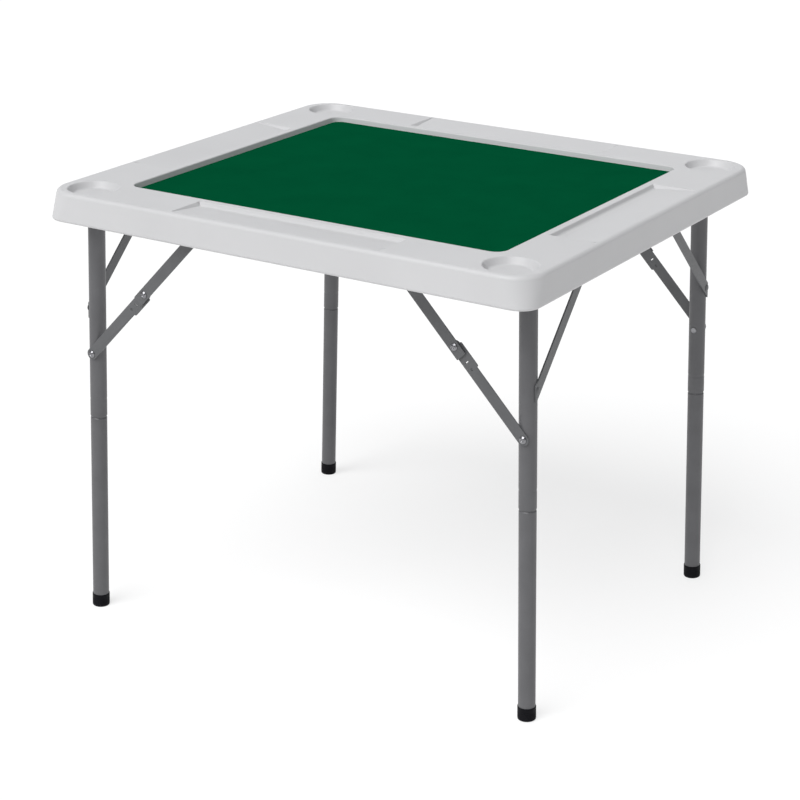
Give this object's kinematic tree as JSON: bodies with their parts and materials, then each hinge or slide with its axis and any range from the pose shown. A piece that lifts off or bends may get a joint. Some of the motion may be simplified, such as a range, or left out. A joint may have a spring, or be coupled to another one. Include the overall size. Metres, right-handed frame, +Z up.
{
  "type": "folding card table",
  "caption": "Folding card table: a moulded top with a recessed felt field, corner cup holders and sloping chip trays, on folding tube legs with knee braces.",
  "frame": {"origin": "on the floor, under the middle of the top, with the legs open", "axes": "+Z up; +X along the longer side of the top, towards the narrower leg frame; front is -Y"},
  "size_m": [0.8796, 0.7796, 0.73],
  "materials": {
    "white_moulding": "satin, finely grained off-white blow-moulded polyethylene",
    "green_felt": "short napped felt, deep green",
    "grey_powder_coat": "mid-grey powder coat on steel tube, fine hammered grain",
    "brace_powder_coat": "mid-grey powder coat on pressed steel strip",
    "zinc_rivet": "bright zinc plate",
    "black_cap": "black moulded cap",
    "saddle_plastic": "black moulded nylon"
  },
  "bodies": {
    "top": {"tabletop": "white_moulding", "felt": "green_felt", "bracket_rivets": "zinc_rivet", "saddle_screws": "zinc_rivet", "bracket_screws": "zinc_rivet", "left_front_saddle": "saddle_plastic", "left_front_bracket": "brace_powder_coat", "left_back_saddle": "saddle_plastic", "left_back_bracket": "brace_powder_coat", "right_front_saddle": "saddle_plastic", "right_front_bracket": "brace_powder_coat", "right_back_saddle": "saddle_plastic", "right_back_bracket": "brace_powder_coat"},
    "left_frame": {"left_cross_tube": "grey_powder_coat", "left_frame_rivets": "zinc_rivet", "left_front_upper_leg": "grey_powder_coat", "left_front_lower_leg": "grey_powder_coat", "left_front_foot": "black_cap", "left_front_stay": "brace_powder_coat", "left_back_upper_leg": "grey_powder_coat", "left_back_lower_leg": "grey_powder_coat", "left_back_foot": "black_cap", "left_back_stay": "brace_powder_coat"},
    "left_front_lower_brace": {"left_front_lower_arm": "brace_powder_coat", "left_front_knee_tail": "zinc_rivet"},
    "left_front_upper_brace": {"left_front_upper_arm": "brace_powder_coat", "left_front_knee_rivet": "zinc_rivet"},
    "left_back_lower_brace": {"left_back_lower_arm": "brace_powder_coat", "left_back_knee_tail": "zinc_rivet"},
    "left_back_upper_brace": {"left_back_upper_arm": "brace_powder_coat", "left_back_knee_rivet": "zinc_rivet"},
    "right_frame": {"right_cross_tube": "grey_powder_coat", "right_frame_rivets": "zinc_rivet", "right_front_upper_leg": "grey_powder_coat", "right_front_lower_leg": "grey_powder_coat", "right_front_foot": "black_cap", "right_front_stay": "brace_powder_coat", "right_back_upper_leg": "grey_powder_coat", "right_back_lower_leg": "grey_powder_coat", "right_back_foot": "black_cap", "right_back_stay": "brace_powder_coat"},
    "right_front_lower_brace": {"right_front_lower_arm": "brace_powder_coat", "right_front_knee_tail": "zinc_rivet"},
    "right_front_upper_brace": {"right_front_upper_arm": "brace_powder_coat", "right_front_knee_rivet": "zinc_rivet"},
    "right_back_lower_brace": {"right_back_lower_arm": "brace_powder_coat", "right_back_knee_tail": "zinc_rivet"},
    "right_back_upper_brace": {"right_back_upper_arm": "brace_powder_coat", "right_back_knee_rivet": "zinc_rivet"}
  },
  "joints": [
    {"name": "left_frame_fold", "type": "hinge", "parent": "top", "child": "left_frame", "pos_m": [-0.37, -0.006, 0.6885], "axis": [0, -1, 0], "range_deg": [0, 91.95]},
    {"name": "left_front_leg_pivot", "type": "hinge", "parent": "left_frame", "child": "left_front_lower_brace", "pos_m": [-0.37786, -0.3451, 0.45765], "axis": [0, -1, 0], "range_deg": [0, 41.66]},
    {"name": "left_front_bracket_pivot", "type": "hinge", "parent": "top", "child": "left_front_upper_brace", "pos_m": [-0.158, -0.3586, 0.6885], "axis": [0, 1, 0], "range_deg": [0, 46.41]},
    {"name": "left_back_leg_pivot", "type": "hinge", "parent": "left_frame", "child": "left_back_lower_brace", "pos_m": [-0.37786, 0.3331, 0.45765], "axis": [0, -1, 0], "range_deg": [0, 41.66]},
    {"name": "left_back_bracket_pivot", "type": "hinge", "parent": "top", "child": "left_back_upper_brace", "pos_m": [-0.158, 0.3466, 0.6885], "axis": [0, 1, 0], "range_deg": [0, 46.41]},
    {"name": "right_frame_fold", "type": "hinge", "parent": "top", "child": "right_frame", "pos_m": [0.384, 0, 0.69], "axis": [0, 1, 0], "range_deg": [0, 91.95]},
    {"name": "right_front_leg_pivot", "type": "hinge", "parent": "right_frame", "child": "right_front_lower_brace", "pos_m": [0.39186, -0.2941, 0.45915], "axis": [0, 1, 0], "range_deg": [0, 41.66]},
    {"name": "right_front_bracket_pivot", "type": "hinge", "parent": "top", "child": "right_front_upper_brace", "pos_m": [0.172, -0.3076, 0.69], "axis": [0, -1, 0], "range_deg": [0, 46.41]},
    {"name": "right_back_leg_pivot", "type": "hinge", "parent": "right_frame", "child": "right_back_lower_brace", "pos_m": [0.39186, 0.2941, 0.45915], "axis": [0, 1, 0], "range_deg": [0, 41.66]},
    {"name": "right_back_bracket_pivot", "type": "hinge", "parent": "top", "child": "right_back_upper_brace", "pos_m": [0.172, 0.3076, 0.69], "axis": [0, -1, 0], "range_deg": [0, 46.41]}
  ],
  "couplings": [
    {"joint": "left_front_leg_pivot", "follows": "left_frame_fold", "ratio": 0.453},
    {"joint": "left_front_bracket_pivot", "follows": "left_frame_fold", "ratio": 0.50458},
    {"joint": "left_back_leg_pivot", "follows": "left_frame_fold", "ratio": 0.453},
    {"joint": "left_back_bracket_pivot", "follows": "left_frame_fold", "ratio": 0.50458},
    {"joint": "right_front_leg_pivot", "follows": "right_frame_fold", "ratio": 0.453},
    {"joint": "right_front_bracket_pivot", "follows": "right_frame_fold", "ratio": 0.50458},
    {"joint": "right_back_leg_pivot", "follows": "right_frame_fold", "ratio": 0.453},
    {"joint": "right_back_bracket_pivot", "follows": "right_frame_fold", "ratio": 0.50458}
  ]
}
